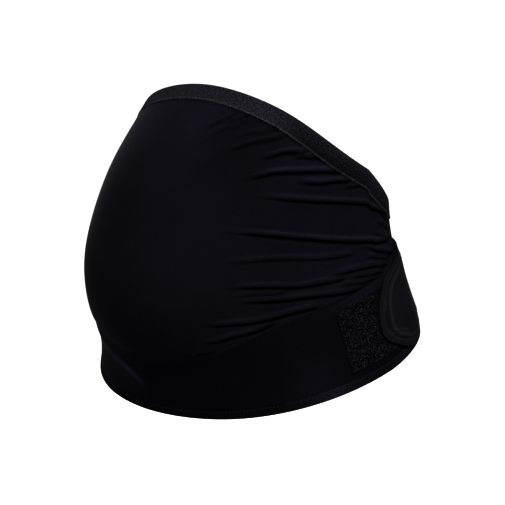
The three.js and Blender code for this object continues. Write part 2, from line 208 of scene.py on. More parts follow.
def cloth(phi, z, distance):
    """Point at a distance over the torso, drawn in along the seam under the belly."""
    phi, z = np.broadcast_arrays(np.asarray(phi, float), np.asarray(z, float))
    above = z - edge("seam", phi)
    across = above / np.where(above > 0, CREASE_ABOVE, CREASE_BELOW)
    crease = CREASE_DEPTH * (1 - smooth(turned(phi), CREASE_FADE, LOOP_FROM)) * np.exp(-across**2)
    return body(phi, z) + normal(phi, z) * (distance - crease)[..., None]


def height_of(width, column, phi):
    """Rise in z of a strip of this width along a seam or edge."""
    z = edge(column, phi)
    rise = edge(column, phi + 1) - edge(column, phi - 1)
    run = np.linalg.norm(body(phi + 1, z) - body(phi - 1, z), axis=-1)
    slant = np.linalg.norm(body(phi, z + 1) - body(phi, z - 1), axis=-1) / 2
    return width * np.hypot(1, rise / run) / slant


def hem_top(phi):
    return edge("bottom", phi) + height_of(HEM_WIDTH, "bottom", phi)


def elastic_low(phi):
    return edge("top", phi) - height_of(ELASTIC_WIDTH, "top", phi)


def panel_low(phi):
    return edge("seam", phi) - height_of(SEAM_TUCK, "seam", phi)


def panel_high(phi):
    return elastic_low(phi) + height_of(SEAM_TUCK, "top", phi)


def band_low(phi):
    return hem_top(phi) - height_of(SEAM_TUCK, "bottom", phi)


def band_high(phi):
    return edge("seam", phi) + height_of(SEAM_TUCK, "seam", phi)


def over_band(phi, share):
    return mix(hem_top(phi), edge("seam", phi), share)


# ---------------------------------------------------------------- mesh making
def make_mesh(name, points, faces, uv=None, material=None, tone=None):
    """faces is a list of index tables, each with its own number of corners."""
    mesh = bpy.data.meshes.new(name)
    points = np.asarray(points, float) * MM
    corners = np.concatenate([np.full(len(f), f.shape[1]) for f in faces])
    order = np.concatenate([f.ravel() for f in faces])
    mesh.vertices.add(len(points))
    mesh.vertices.foreach_set("co", points.ravel())
    mesh.loops.add(len(order))
    mesh.loops.foreach_set("vertex_index", order)
    mesh.polygons.add(len(corners))
    mesh.polygons.foreach_set("loop_start", np.concatenate([[0], np.cumsum(corners)[:-1]]))
    mesh.polygons.foreach_set("use_smooth", np.ones(len(corners), bool))
    if uv is not None:
        layer = mesh.uv_layers.new(name="cloth")
        layer.data.foreach_set("uv", (np.asarray(uv) * MM)[order].ravel())
    # tone is painted shade and highlight, kept in the crease attribute: above 0 darker, below 0 lighter
    if tone is not None:
        attribute = mesh.attributes.new("crease", "FLOAT", "POINT")
        attribute.data.foreach_set("value", np.asarray(tone, float).ravel())
    mesh.update(calc_edges=True)
    mesh.validate()
    obj = bpy.data.objects.new(name, mesh)
    bpy.context.scene.collection.objects.link(obj)
    if material:
        mesh.materials.append(material)
    return obj


def shell(name, phi, z, inner, outer, ring=False, material=None, z_inner=None, tone=None):
    """A closed sheet over the body: phi is a list of angles, and z, inner and outer are (angle, row) tables."""
    z_inner = z if z_inner is None else z_inner
    a = cloth(np.asarray(phi, float)[:, None], z_inner, np.broadcast_to(inner, z_inner.shape))
    b = cloth(np.asarray(phi, float)[:, None], z, outer)
    n, rows = z.shape
    inner_rows = z_inner.shape[1]
    size = inner_rows + rows
    points = np.concatenate([a, b[:, ::-1]], 1).reshape(-1, 3)
    along = np.concatenate([[0], np.cumsum(np.linalg.norm(np.diff(b, axis=0), axis=-1).mean(1))])

    def laid_out(p):
        rise = np.concatenate([np.zeros((n, 1)), np.cumsum(np.linalg.norm(np.diff(p, axis=1), axis=-1), 1)], 1)
        return np.stack([np.broadcast_to(along[:, None], rise.shape), rise], -1)
    uv = np.concatenate([laid_out(a), laid_out(b)[:, ::-1]], 1).reshape(-1, 2)
    spans = n if ring else n - 1
    i = np.arange(spans)[:, None]
    j = np.arange(size)[None]
    here, there, following = i * size, ((i + 1) % n) * size, (j + 1) % size
    faces = [np.stack([here + j, here + following, there + following, there + j], -1).reshape(-1, 4)]
    if not ring:
        k = np.arange(rows - 1)
        low_inner = np.round(k * (inner_rows - 1) / (rows - 1)).astype(int)
        high_inner = np.round((k + 1) * (inner_rows - 1) / (rows - 1)).astype(int)
        far = size - 1 - k
        last = (n - 1) * size
        stepped = high_inner > low_inner
        faces.append(np.stack([low_inner, far, far - 1], -1))
        faces.append(np.stack([low_inner, far - 1, high_inner], -1)[stepped])
        faces.append(last + np.stack([low_inner, far - 1, far], -1))
        faces.append(last + np.stack([low_inner, high_inner, far - 1], -1)[stepped])
    if tone is not None:
        tone = np.concatenate([np.zeros(z_inner.shape), np.broadcast_to(tone, z.shape)[:, ::-1]], 1)
    return make_mesh(name, points, faces, uv, material, tone)


ROUND_AT = np.array([0, 0.08, 0.3, 0.62])
ROUND_PINCH = [0.42, 0.24, 0.1, 0.03]


def rounded(low, high, inner_rows, round_mm):
    """Row heights from low to high with close rows at both edges, and how much each row is pinched."""
    near = np.minimum(round_mm, (high - low) / 4)[:, None]
    first = low[:, None] + near * ROUND_AT[None]
    last = high[:, None] - near * ROUND_AT[None, ::-1]
    middle = mix(low[:, None] + near, high[:, None] - near, np.linspace(0, 1, inner_rows)[None])
    z = np.concatenate([first, middle, last], 1)
    pinch = np.zeros(z.shape[1])
    pinch[:4] = ROUND_PINCH
    pinch[-4:] = pinch[:4][::-1]
    return z, pinch[None]


def height_share(z):
    return (z - z[:, :1]) / (z[:, -1:] - z[:, :1])


STRAND_ASIDE = np.array([0.31, 0.52, 0.79])
STRAND_TAPER = 0.45


def tube_strands(name, strands, radius, sides, material):
    """Closed tubes along many short paths: strands is (count, points, 3) in mm."""
    strands = np.asarray(strands, float)
    number, length, _ = strands.shape
    tangent = np.gradient(strands, axis=1)
    tangent /= np.linalg.norm(tangent, axis=-1, keepdims=True) + 1e-9
    side = np.cross(tangent, STRAND_ASIDE)
    side /= np.linalg.norm(side, axis=-1, keepdims=True) + 1e-9
    other = np.cross(tangent, side)
    turn = np.linspace(0, 2 * math.pi, sides, endpoint=False)
    taper = np.ones(length)
    taper[0] = taper[-1] = STRAND_TAPER
    offset = side[:, :, None] * np.cos(turn)[None, None, :, None]
    offset = offset + other[:, :, None] * np.sin(turn)[None, None, :, None]
    points = strands[:, :, None] + offset * (radius * taper)[None, :, None, None]
    c = np.arange(number)[:, None, None] * length * sides
    p = np.arange(length - 1)[None, :, None] * sides
    s = np.arange(sides)[None, None, :]
    following = (s + 1) % sides
    quads = np.stack(np.broadcast_arrays(
        c + p + s, c + p + following, c + p + sides + following, c + p + sides + s), -1)
    ends = np.array([0, (length - 1) * sides])[None] + (np.arange(number) * length * sides)[:, None]
    near = ends[:, 0, None] + np.arange(sides)[None]
    far = ends[:, 1, None] + np.arange(sides)[None]
    return make_mesh(name, points.reshape(-1, 3), [quads.reshape(-1, 4), near[:, ::-1], far], None, material)


# ---------------------------------------------------------------- materials
def material(name, roughness, sheen, sheen_roughness, specular, tint, laid_out=True):
    """A cloth shader and the coordinates of its weave: laid out flat, or in the object's own space."""
    mat = bpy.data.materials.new(name)
    mat.use_nodes = True
    nodes, links = mat.node_tree.nodes, mat.node_tree.links
    shader = nodes["Principled BSDF"]
    shader.inputs["Roughness"].default_value = roughness
    shader.inputs["Specular IOR Level"].default_value = specular
    shader.inputs["Sheen Weight"].default_value = sheen
    shader.inputs["Sheen Roughness"].default_value = sheen_roughness
    shader.inputs["Sheen Tint"].default_value = (*tint, 1)
    if not laid_out:
        return mat, nodes, links, shader, nodes.new("ShaderNodeTexCoord").outputs["Object"]
    uv = nodes.new("ShaderNodeUVMap")
    uv.uv_map = "cloth"
    return mat, nodes, links, shader, uv.outputs["UV"]


def noise(nodes, links, vector, scale, detail=3.0, rough=0.5):
    node = nodes.new("ShaderNodeTexNoise")
    node.inputs["Scale"].default_value = scale
    node.inputs["Detail"].default_value = detail
    node.inputs["Roughness"].default_value = rough
    links.new(vector, node.inputs["Vector"])
    return node.outputs["Fac"]


def wave(nodes, links, vector, scale, axis="X", distortion=0.0, detail_scale=1.0):
    node = nodes.new("ShaderNodeTexWave")
    node.wave_type = "BANDS"
    node.bands_direction = axis
    node.wave_profile = "SIN"
    node.inputs["Scale"].default_value = scale
    node.inputs["Distortion"].default_value = distortion
    node.inputs["Detail Scale"].default_value = detail_scale
    links.new(vector, node.inputs["Vector"])
    return node.outputs["Fac"]


def math_node(nodes, links, operation, a, b):
    node = nodes.new("ShaderNodeMath")
    node.operation = operation
    for k, value in enumerate((a, b)):
        if isinstance(value, (int, float)):
            node.inputs[k].default_value = value
        else:
            links.new(value, node.inputs[k])
    return node.outputs[0]


def ramp(nodes, links, fac, low, high, start, end):
    node = nodes.new("ShaderNodeValToRGB")
    node.color_ramp.elements[0].position = start
    node.color_ramp.elements[1].position = end
    node.color_ramp.elements[0].color = (*low, 1)
    node.color_ramp.elements[1].color = (*high, 1)
    links.new(fac, node.inputs["Fac"])
    return node.outputs["Color"]


def bump(nodes, links, shader, height, strength, distance):
    node = nodes.new("ShaderNodeBump")
    node.inputs["Strength"].default_value = strength
    node.inputs["Distance"].default_value = distance
    links.new(height, node.inputs["Height"])
    links.new(node.outputs["Normal"], shader.inputs["Normal"])


def shaded_by_crease(nodes, links, colour):
    """Cloth colour times the painted shade in the crease attribute: painted shade down in a crease and a painted
    highlight on the ridge above it.
    """
    attribute = nodes.new("ShaderNodeAttribute")
    attribute.attribute_name = "crease"
    depth = nodes.new("ShaderNodeMapRange")
    depth.inputs["From Min"].default_value = SHADE_LIGHT
    depth.inputs["From Max"].default_value = SHADE_DEEP
    depth.inputs["To Min"].default_value = FACTOR_LIGHT
    depth.inputs["To Max"].default_value = FACTOR_DEEP
    links.new(attribute.outputs["Fac"], depth.inputs["Value"])
    product = nodes.new("ShaderNodeVectorMath")
    product.operation = "SCALE"
    links.new(colour, product.inputs["Vector"])
    links.new(depth.outputs["Result"], product.inputs["Scale"])
    return product.outputs["Vector"]


def blend(nodes, links, first, first_part, second, second_part):
    parts = [math_node(nodes, links, "MULTIPLY", source, part)
             for source, part in ((first, first_part), (second, second_part))]
    return math_node(nodes, links, "ADD", *parts)


WAVES_PER_UNIT = 20
COOL, NEUTRAL = (0.9, 0.92, 1.0), (0.95, 0.95, 1.0)


def bands_over(pitch_mm):
    """Scale of a wave texture whose bands are this far apart, on coordinates in metres."""
    return 1000 / pitch_mm / WAVES_PER_UNIT


def knit_cloth(name, dark, light, roughness, sheen, pitch_mm, strength):
    """Fine stretch knit: wales and courses, with faint uneven tone."""
    mat, nodes, links, shader, vector = material(name, roughness, sheen, 0.35, 0.003, COOL)
    wales = wave(nodes, links, vector, bands_over(pitch_mm), "X")
    courses = wave(nodes, links, vector, bands_over(pitch_mm * 0.7), "Y")
    grain = noise(nodes, links, vector, 1600, 2.0)
    knit = math_node(nodes, links, "MULTIPLY", wales, courses)
    height = math_node(nodes, links, "ADD", knit, math_node(nodes, links, "MULTIPLY", grain, 0.6))
    bump(nodes, links, shader, height, strength, 0.00025)
    tone = noise(nodes, links, vector, 14, 4.0, 0.6)
    fine = noise(nodes, links, vector, 420, 3.0, 0.6)
    colour = ramp(nodes, links, blend(nodes, links, tone, 0.55, fine, 0.45), dark, light, 0.35, 0.65)
    links.new(shaded_by_crease(nodes, links, colour), shader.inputs["Base Color"])
    rough = nodes.new("ShaderNodeMapRange")
    rough.inputs["To Min"].default_value = roughness - 0.06
    rough.inputs["To Max"].default_value = roughness + 0.08
    links.new(tone, rough.inputs["Value"])
    links.new(rough.outputs["Result"], shader.inputs["Roughness"])
    return mat


def ribbed_cloth(name, dark, light, roughness, sheen, pitch_mm, strength, speckle, laid_out=True):
    """Woven elastic or binding: ribs across its length, with a brushed speckle."""
    mat, nodes, links, shader, vector = material(name, roughness, sheen, 0.5, 0.005, NEUTRAL, laid_out)
    ribs = wave(nodes, links, vector, bands_over(pitch_mm), "X", 0.6, 3.0)
    rows = wave(nodes, links, vector, bands_over(pitch_mm * 1.3), "Y", 0.4, 3.0)
    fuzz = noise(nodes, links, vector, 560, 3.0, 0.7)
    height = math_node(nodes, links, "ADD", math_node(nodes, links, "MULTIPLY", ribs, 0.6), rows)
    height = math_node(nodes, links, "ADD", height, math_node(nodes, links, "MULTIPLY", fuzz, speckle))
    bump(nodes, links, shader, height, strength, 0.0005)
    colour = ramp(nodes, links, fuzz, dark, light, 0.38, 0.64)
    links.new(shaded_by_crease(nodes, links, colour), shader.inputs["Base Color"])
    return mat


def pile_cloth(name, dark, light, roughness, sheen, scale):
    """Short looped or hooked pile."""
    mat, nodes, links, shader, vector = material(name, roughness, sheen, 0.6, 0.005, NEUTRAL, False)
    cells = nodes.new("ShaderNodeTexVoronoi")
    cells.inputs["Scale"].default_value = scale
    links.new(vector, cells.inputs["Vector"])
    fuzz = noise(nodes, links, vector, scale * 1.5, 4.0, 0.7)
    height = math_node(nodes, links, "ADD", cells.outputs["Distance"], fuzz)
    bump(nodes, links, shader, height, 0.5, 0.0006)
    clumps = noise(nodes, links, vector, 520, 1.0, 0.5)
    colour = ramp(nodes, links, blend(nodes, links, fuzz, 0.3, clumps, 0.7), dark, light, 0.45, 0.58)
    links.new(colour, shader.inputs["Base Color"])
    return mat


M_PANEL = knit_cloth(
    "microfibre_knit", dark=(0.0113, 0.0102, 0.0159), light=(0.0167, 0.0151, 0.0230),
    roughness=0.55, sheen=0.010, pitch_mm=0.9, strength=0.25)
# The band's cloth is darker than the panel's, partly its own colour and partly painted shade under the overhanging
# dome
M_BAND = knit_cloth(
    "firm_knit", dark=(0.0062, 0.0055, 0.0092), light=(0.0095, 0.0085, 0.0138),
    roughness=0.55, sheen=0.014, pitch_mm=0.8, strength=0.25)
M_BELT = knit_cloth(
    "laminated_cloth", dark=(0.0132, 0.0126, 0.0171), light=(0.0195, 0.0187, 0.0248),
    roughness=0.5, sheen=0.020, pitch_mm=1.2, strength=0.3)
M_ELASTIC = ribbed_cloth(
    "elastic_webbing", dark=(0.0100, 0.0097, 0.0131), light=(0.0470, 0.0456, 0.0570),
    roughness=0.85, sheen=0.008, pitch_mm=1.3, strength=0.6, speckle=1.6)
M_HEM = ribbed_cloth(
    "hem_rib", dark=(0.0050, 0.0048, 0.0070), light=(0.0135, 0.0128, 0.0178),
    roughness=0.75, sheen=0.008, pitch_mm=1.1, strength=0.5, speckle=0.9)
M_THREAD = ribbed_cloth(
    "black_thread", dark=(0.0259, 0.0249, 0.0308), light=(0.0486, 0.0470, 0.0583),
    roughness=0.55, sheen=0.02, pitch_mm=0.4, strength=0.3, speckle=0.5, laid_out=False)
M_LOOP = pile_cloth(
    "loop_pile_base", dark=(0.0049, 0.0049, 0.0071), light=(0.0122, 0.0117, 0.0162),
    roughness=0.95, sheen=0.003, scale=1100)
M_LOOPS = pile_cloth(
    "loop_pile_yarn", dark=(0.0040, 0.0040, 0.0056), light=(0.0860, 0.0836, 0.1010),
    roughness=0.6, sheen=0.003, scale=700)
M_HOOK = pile_cloth(
    "hook_tape_weave", dark=(0.0162, 0.0162, 0.0211), light=(0.0356, 0.0356, 0.0421),
    roughness=0.6, sheen=0.02, scale=900)

DETAIL = 1.0


def count(n):
    return max(4, int(n * DETAIL))


# ---------------------------------------------------------------- belly panel with its gathers
def fold_side(phi):
    """Angle to look up in the fold table: the right side is the left one mirrored and drawn a little forward."""
    mirrored = -phi - 9 * (1 - smooth(-phi, 58, 104)) + 1.2 * np.sin(np.radians(phi * 7))
    return np.where(phi < 0, mirrored, phi)


def fold_line(live, low, middle, high):
    """Height of a fold, as a share: a slightly wavy parabola through three heights."""
    line = low + live * (4 * middle - 3 * low - high) + live**2 * (2 * low + 2 * high - 4 * middle)
    return line + 0.0035 * np.sin(live * 11 + low * 40)


def fold_relief(phi, t, tall):
    """Lift of the panel in mm, and its painted shade and highlight, at (angle, share of its height)."""
    side = fold_side(phi)
    lift, crease = np.zeros_like(t), np.zeros_like(t)
    for start, stop, low, middle, high, amount in FOLDS:
        along = (side - start) / (stop - start)
        line = fold_line(np.clip(along, 0, 1), low, middle, high)
        above = (t - line) * tall - FOLD_MIDDLE
        ridge = bell(above, 0, np.where(above > 0, FOLD_RISE, FOLD_DROP))
        below = FOOT_LIFT * bell(above, FOOT_AT, FOOT_WIDTH) - NIP_DEPTH * bell(above, NIP_AT, NIP_WIDTH)
        strength = smooth(along, 0, 0.28) * (1 - smooth(along, 0.9, 1.0))
        lift += FOLD_LIFT * amount * strength * (ridge + below)
        # Painted shade in the crease under each roll, and a painted highlight on its crest above it, stronger higher
        # up the panel
        shade = SHADOW * bell(above, SHADOW_AT, np.where(above > SHADOW_AT, SHADOW_RISE, SHADOW_DROP))
        crest = CREST + CREST_HIGHER_UP * smooth(line, 0.15, 0.42)
        crease += amount * strength * (shade - crest * bell(above, CREST_AT, CREST_WIDTH))
    shown = np.where(phi < 0, smooth(-phi, 44, 64), 1)
    lift, crease = lift * shown, crease * shown
    lift = FOLD_MOST * np.tanh(lift / FOLD_MOST) + tucks(side, t)
    sewn = smooth(t * tall, 0, 2.6) * smooth((1 - t) * tall, 0, 3.0)
    return np.maximum(lift * sewn, -0.9), np.clip(crease, -1, 0.92)


def tucks(side, t):
    """Small uneven tucks at the side seam, and faint soft waves in front of them, in mm."""
    gather = smooth(side, 74, 106) * (1 - smooth(side, 110, 117))
    fine = np.sin(t * 46 + 1.6 * np.sin(t * 9 + side * 0.05) + side * 0.06)
    fine = fine + 0.6 * np.sin(t * 83 + side * 0.11 + 2 * np.sin(side * 0.09))
    soft = 0.5 * np.sin(t * 17 + side * 0.07) * smooth(side, 36, 70)
    return 0.3 * gather * fine + 0.25 * soft


def panel_shade(column, from_seam, from_top, side_share):
    """Painted shade along the panel's seams, under the dome and in soft patches on it, and painted light over its
    upper front.
    """
    shade = 0.7 * bell(from_top, 1.2, 1.3) + 0.5 * side_share * bell(from_seam, 1.0, 1.4)
    # Painted shadow under the overhanging dome, weaker towards the sides
    under = 0.5 * np.exp(-(from_seam / 68) ** 4) * (1 - 0.7 * smooth(column, 12, 48))
    shade = shade + (1 - side_share) * under
    # Painted light over the upper front of the dome
    shade = shade - 0.75 * bell(from_top, 0, 72) * (1 - smooth(column, 8, 42))
    distances = {"top": from_top, "seam": from_seam}
    for strength, angle, spread, edge_name, distance, reach in PANEL_LOBES:
        shade = shade + strength * bell(column, angle, spread) * bell(distances[edge_name], distance, reach)
    return shade


SEAM_TURN = -math.degrees(SEAM_TUCK / HIP_HALF_WIDTH)
DOME_FROM, DOME_TO = -26, 12


def belly_panel():
    side = SIDE_SEAM - SEAM_TURN
    # The columns stand close where the photographed side has its folds, and wide apart on the plain dome
    phi = np.concatenate([
        np.linspace(-side, DOME_FROM, count(134)), np.linspace(DOME_FROM, DOME_TO, count(26))[1:-1],
        np.linspace(DOME_TO, side, count(208)),
    ])
    low, high = panel_low(phi)[:, None], panel_high(phi)[:, None]
    z = mix(low, high, np.linspace(0, 1, count(226))[None])
    z_inner = mix(low, high, np.linspace(0, 1, count(20))[None])
    t = np.broadcast_to(np.linspace(0, 1, count(226))[None], z.shape)
    column = np.broadcast_to(phi[:, None], z.shape)
    flat = cloth(column, z, np.zeros_like(z))
    tall = np.linalg.norm(np.diff(flat, axis=1), axis=-1).sum(1)[:, None]
    lift, crease = fold_relief(column, t, tall)
    from_seam = t * tall
    side_share = smooth(turned(column), 55, 75)
    lift = lift + (BAND_T - PANEL_T) * (1 - side_share) * bell(from_seam, 0, 7)
    # Painted shade and highlights of the folds, with the painted shade and light of the seams and dome
    tone = crease + panel_shade(column, from_seam, tall - from_seam, side_share)
    return shell("stretch_belly_panel", phi, z, np.full(z_inner.shape, -0.1), lift + PANEL_T,
                 material=M_PANEL, z_inner=z_inner, tone=np.clip(tone, -1.3, 1))


def back_panel():
    phi = np.linspace(SIDE_SEAM + SEAM_TURN, 360 - SIDE_SEAM - SEAM_TURN, count(150))
    z, pinch = rounded(panel_low(phi), panel_high(phi), count(24), 1.0)
    t = height_share(z)
    relief = 0.18 * np.sin(phi[:, None] * 0.35 + 2 * t) * np.sin(math.pi * t)
    outer = PANEL_T * (1 - pinch) + np.maximum(relief, 0)
    return shell("stretch_back_panel", phi, z, PANEL_T * pinch, outer, material=M_PANEL)


RING = np.linspace(-180, 180, count(420), endpoint=False)
ELASTIC_ROUND, BAND_ROUND, HEM_ROUND = 1.4, 1.2, 1.3
ELASTIC_RIDGES, ELASTIC_RIDGE = 5, 0.10
HEM_SEAM_AT, HEM_SEAM_DEPTH, HEM_SEAM_WIDTH = 0.8, 0.35, 0.07


def top_elastic():
    z, pinch = rounded(elastic_low(RING), edge("top", RING), count(14), ELASTIC_ROUND)
    t = height_share(z)
    ridges = ELASTIC_RIDGE * np.cos(t * 2 * math.pi * ELASTIC_RIDGES)
    outer = ELASTIC_T * (1 - pinch) + ridges * np.sin(math.pi * t) ** 0.5
    return shell("brushed_top_elastic", RING, z, ELASTIC_T * pinch, outer, ring=True, material=M_ELASTIC,
                 tone=elastic_painted_shade(turned(RING)[:, None], t))


def elastic_painted_shade(turn, t):
    """Painted shade, darker towards the sides and above all along the elastic's lower half, with a painted highlight
    that lights its lower edge.
    """
    tone = 0.88 * smooth(turn, 33, 64) - 0.1 * smooth(turn, 86, 92) - 0.42
    return tone + 0.7 * (0.5 - t) * smooth(turn, 45, 60) - 1.5 * bell(t, 0.05, 0.05)


def lower_band():
    """The firm band, with one drag fold low on the front, on the right side."""
    # The columns stand closest where the drag fold runs
    phi = np.concatenate([
        np.linspace(-180, -64, count(130), endpoint=False), np.linspace(-64, 14, count(170), endpoint=False),
        np.linspace(14, 180, count(180), endpoint=False),
    ])
    z, pinch = rounded(band_low(phi), band_high(phi), count(104), BAND_ROUND)
    z_inner, inner_pinch = rounded(band_low(phi), band_high(phi), count(20), BAND_ROUND)
    column = phi[:, None]
    lift, tone = band_relief(column, z)
    outer_pinch = pinch * np.where(band_share(column, z) > 0.5, smooth(turned(column), 55, 75), 1)
    inner = BAND_T * inner_pinch + 0.5 * band_relief(column, z_inner)[0]
    return shell("firm_lower_band", phi, z, inner, BAND_T * (1 - outer_pinch) + lift,
                 ring=True, material=M_BAND, z_inner=z_inner, tone=tone)


def band_share(phi, z):
    return (z - hem_top(phi)) / (edge("seam", phi) - hem_top(phi))


def band_relief(column, z):
    """Lift of the band, in mm, and its painted shade and highlights."""
    share = band_share(column, z)
    tall = edge("seam", column) - hem_top(column)
    line = DRAG_SHARE - DRAG_FALL * np.maximum((column - DRAG_KNEE) / DRAG_RUN, 0) ** 3
    above = (share - line) * tall
    away = np.abs(above)
    ridge = np.exp(-away / np.where(above > 0, DRAG_RISE, DRAG_DROP) * away / (away + 1.0))
    started = smooth(column, DRAG_FROM, DRAG_FULL)
    drag = DRAG_LIFT * ridge * started * (1 - smooth(column, -2, 9))
    soft = 0.25 * np.sin(np.radians(column * 5) + 3 * share) * (1 - smooth(turned(column), 60, 72))
    edges = np.sin(math.pi * np.clip(share, 0, 1)) ** 0.6
    lip = 2.5 * smooth(share, 0.84, 0.9) * smooth(turned(column), 64, 80) * (1 - smooth(turned(column), 112, 120))
    lift = np.maximum((drag + soft) * edges + lip * smooth(1 - share, -0.02, 0.03), 0)
    # Where the drag fold's crest gets a painted highlight, with painted light on the facet below it and the shoulder
    # above it
    crest = started * (1 - smooth(column, -10, 2))
    facet = smooth(-above, -0.5, 1.5) * np.exp(-np.maximum(-above, 0) / 10)
    shoulder = smooth(above, -0.5, 1.5) * np.exp(-np.maximum(above, 0) / 5)
    tone = crest * (-3.2 * bell(above, 0.6, 2.3) - 1.1 * facet - 1.5 * shoulder)
    # Painted light low on the band around 62 degrees from the front and on its lip at the sides, and painted shade on
    # the front past the drag fold's end
    tone = tone - 0.6 * bell(turned(column), 62, 9) * bell(share, 0.15, 0.35)
    tone = tone - 0.3 * lip + 0.3 * (1 - crest) * smooth(column, -30, -5) * (1 - smooth(column, 30, 60))
    return lift, np.clip(tone, -6.4, 1)


def bottom_hem():
    z, pinch = rounded(edge("bottom", RING), hem_top(RING), count(10), HEM_ROUND)
    t = height_share(z)
    outer = HEM_T * (1 - pinch) - HEM_SEAM_DEPTH * bell(t, HEM_SEAM_AT, HEM_SEAM_WIDTH)
    turn = turned(RING)[:, None]
    # Painted shade on the front of the hem and painted light towards the sides, most around 66 degrees from the
    # front, none at the back
    tone = 0.4 * (1 - smooth(turn, 44, 55)) - 1.2 * bell(turn, 66, 8) - 0.6 * smooth(turn, 88, 104)
    return shell("folded_bottom_hem", RING, z, HEM_T * pinch, outer, ring=True, material=M_HEM,
                 tone=tone * (1 - smooth(turn, 112, 130)))


# ---------------------------------------------------------------- closure and back belt
def patch(name, side, start, stop, low, high, base, thickness, mat):
    phi = np.linspace(start, stop, count(60))
    if side < 0:
        phi = -phi[::-1]
    z, pinch = rounded(over_band(phi, low), over_band(phi, high), count(40), 0.8)
    return shell(name, phi, z, base + thickness * pinch * 0.5, base + thickness * (1 - pinch), material=mat)


PILE_LOOPS = 5600
PILE_SEEDS = {1: 5, -1: 6}
PILE_HALF_WIDTH, PILE_HEIGHT, PILE_RADIUS, PILE_SUNK = (0.28, 0.52), (0.3, 0.9), 0.17, 0.12


def pile_loops(side):
    """Many small standing loops of yarn over the open part of a loop patch."""
    rng = np.random.default_rng(PILE_SEEDS[side])
    phi = rng.uniform(LOOP_FROM + 0.35, TIP + 12, PILE_LOOPS)
    share = rng.uniform(LOOP_LOW + 0.015, LOOP_HIGH - 0.015, PILE_LOOPS)
    hidden = (phi > TIP) & (over_band(phi, share) > belt_low(np.maximum(phi, TIP)) - 1.5)
    phi, share = phi[~hidden], share[~hidden]
    n = len(phi)
    z = over_band(phi, share)
    heading = rng.uniform(0, math.pi, n)
    half = rng.uniform(*PILE_HALF_WIDTH, n)
    tall = rng.uniform(*PILE_HEIGHT, n)
    root = cloth(side * phi, z, np.full(n, LOOP_BASE + LOOP_T - PILE_SUNK))
    out = normal(side * phi, z)
    across = np.cross(out, np.array([0.0, 0.0, 1.0]))
    across /= np.linalg.norm(across, axis=1, keepdims=True)
    upward = np.cross(across, out)
    direction = across * np.cos(heading)[:, None] + upward * np.sin(heading)[:, None]
    turns = np.linspace(0, math.pi, 5)
    strands = (root[:, None] - direction[:, None] * (half[:, None] * np.cos(turns)[None])[..., None]
               + out[:, None] * (tall[:, None] * np.sin(turns)[None])[..., None])
    return tube_strands("pile_loops_" + ("left" if side > 0 else "right"), strands, PILE_RADIUS, 4, M_LOOPS)


def opened(turn, run):
    """How far the belt has opened, from 0 at its tip to 1: a quarter ellipse."""
    return np.sqrt(1 - (1 - np.clip(turn / run, 0, 1)) ** 2)


def belt_turn(phi):
    """Angle from the nearer tip of the belt, towards its middle at the back."""
    return np.minimum(phi - TIP, 360 - TIP - phi)


def full_low(turn):
    """Share of the band's height at the belt's lower edge: each end slopes down from its tip."""
    tab = TAB_DIP + (TAB_LOW - TAB_DIP) * (1 - np.clip(turn / TAB_TILT_RUN, 0, 1)) ** TAB_TILT_POWER
    return mix(tab, BELT_LOW, smooth(turn, TAB_TILT_RUN - 2, SLOPE_END + 12))


def belt_low(phi):
    turn = belt_turn(phi)
    return over_band(phi, mix(TIP_SHARE, full_low(turn), opened(turn, CORNER_RUN)))


def belt_high(phi):
    return over_band(phi, mix(TIP_SHARE, BELT_HIGH, opened(belt_turn(phi), TOP_RUN)))


def belt_base(phi):
    closed = 1 - smooth(belt_turn(phi), LOOP_TO + 2 - TIP, SLOPE_END)
    return mix(BACK_BASE, CLOSED_BASE, closed)


def belt_edge_distance(phi, z):
    """Distance in mm from the belt's outline, measured along the cloth."""
    low, high = belt_low(phi), belt_high(phi)
    slant = np.linalg.norm(body(phi, z + 1) - body(phi, z - 1), axis=-1) / 2
    column = np.linalg.norm(body(phi + 0.5, z) - body(phi - 0.5, z), axis=-1)
    vertical = np.minimum(z - low, high - z) * slant
    # How far the outline lies sideways at this height, from its two quarter ellipses
    tip_z = over_band(phi, TIP_SHARE)
    upper = z > tip_z
    reach = np.where(upper, over_band(phi, BELT_HIGH) - tip_z, tip_z - over_band(phi, full_low(belt_turn(phi))))
    run = np.where(upper, TOP_RUN, CORNER_RUN)
    y = np.clip(np.abs(z - tip_z) / reach, 0, 1)
    edge_turn = run * (1 - np.sqrt(np.clip(1 - y**2, 0, 1)))
    sideways = (belt_turn(phi) - edge_turn) * column
    return 1 / np.sqrt(1 / np.maximum(vertical, 1e-3) ** 2 + 1 / np.maximum(sideways, 1e-3) ** 2)


TIP_ZONE = 40


def belt_columns(start, near, power, far):
    """Angles round the belt, close together at its two tips."""
    left = np.concatenate([start + TIP_ZONE * np.linspace(0, 1, near) ** power,
                           np.linspace(TIP + TIP_ZONE + 0.5, 180, far)])
    return np.concatenate([left, (360 - left[:-1])[::-1]])


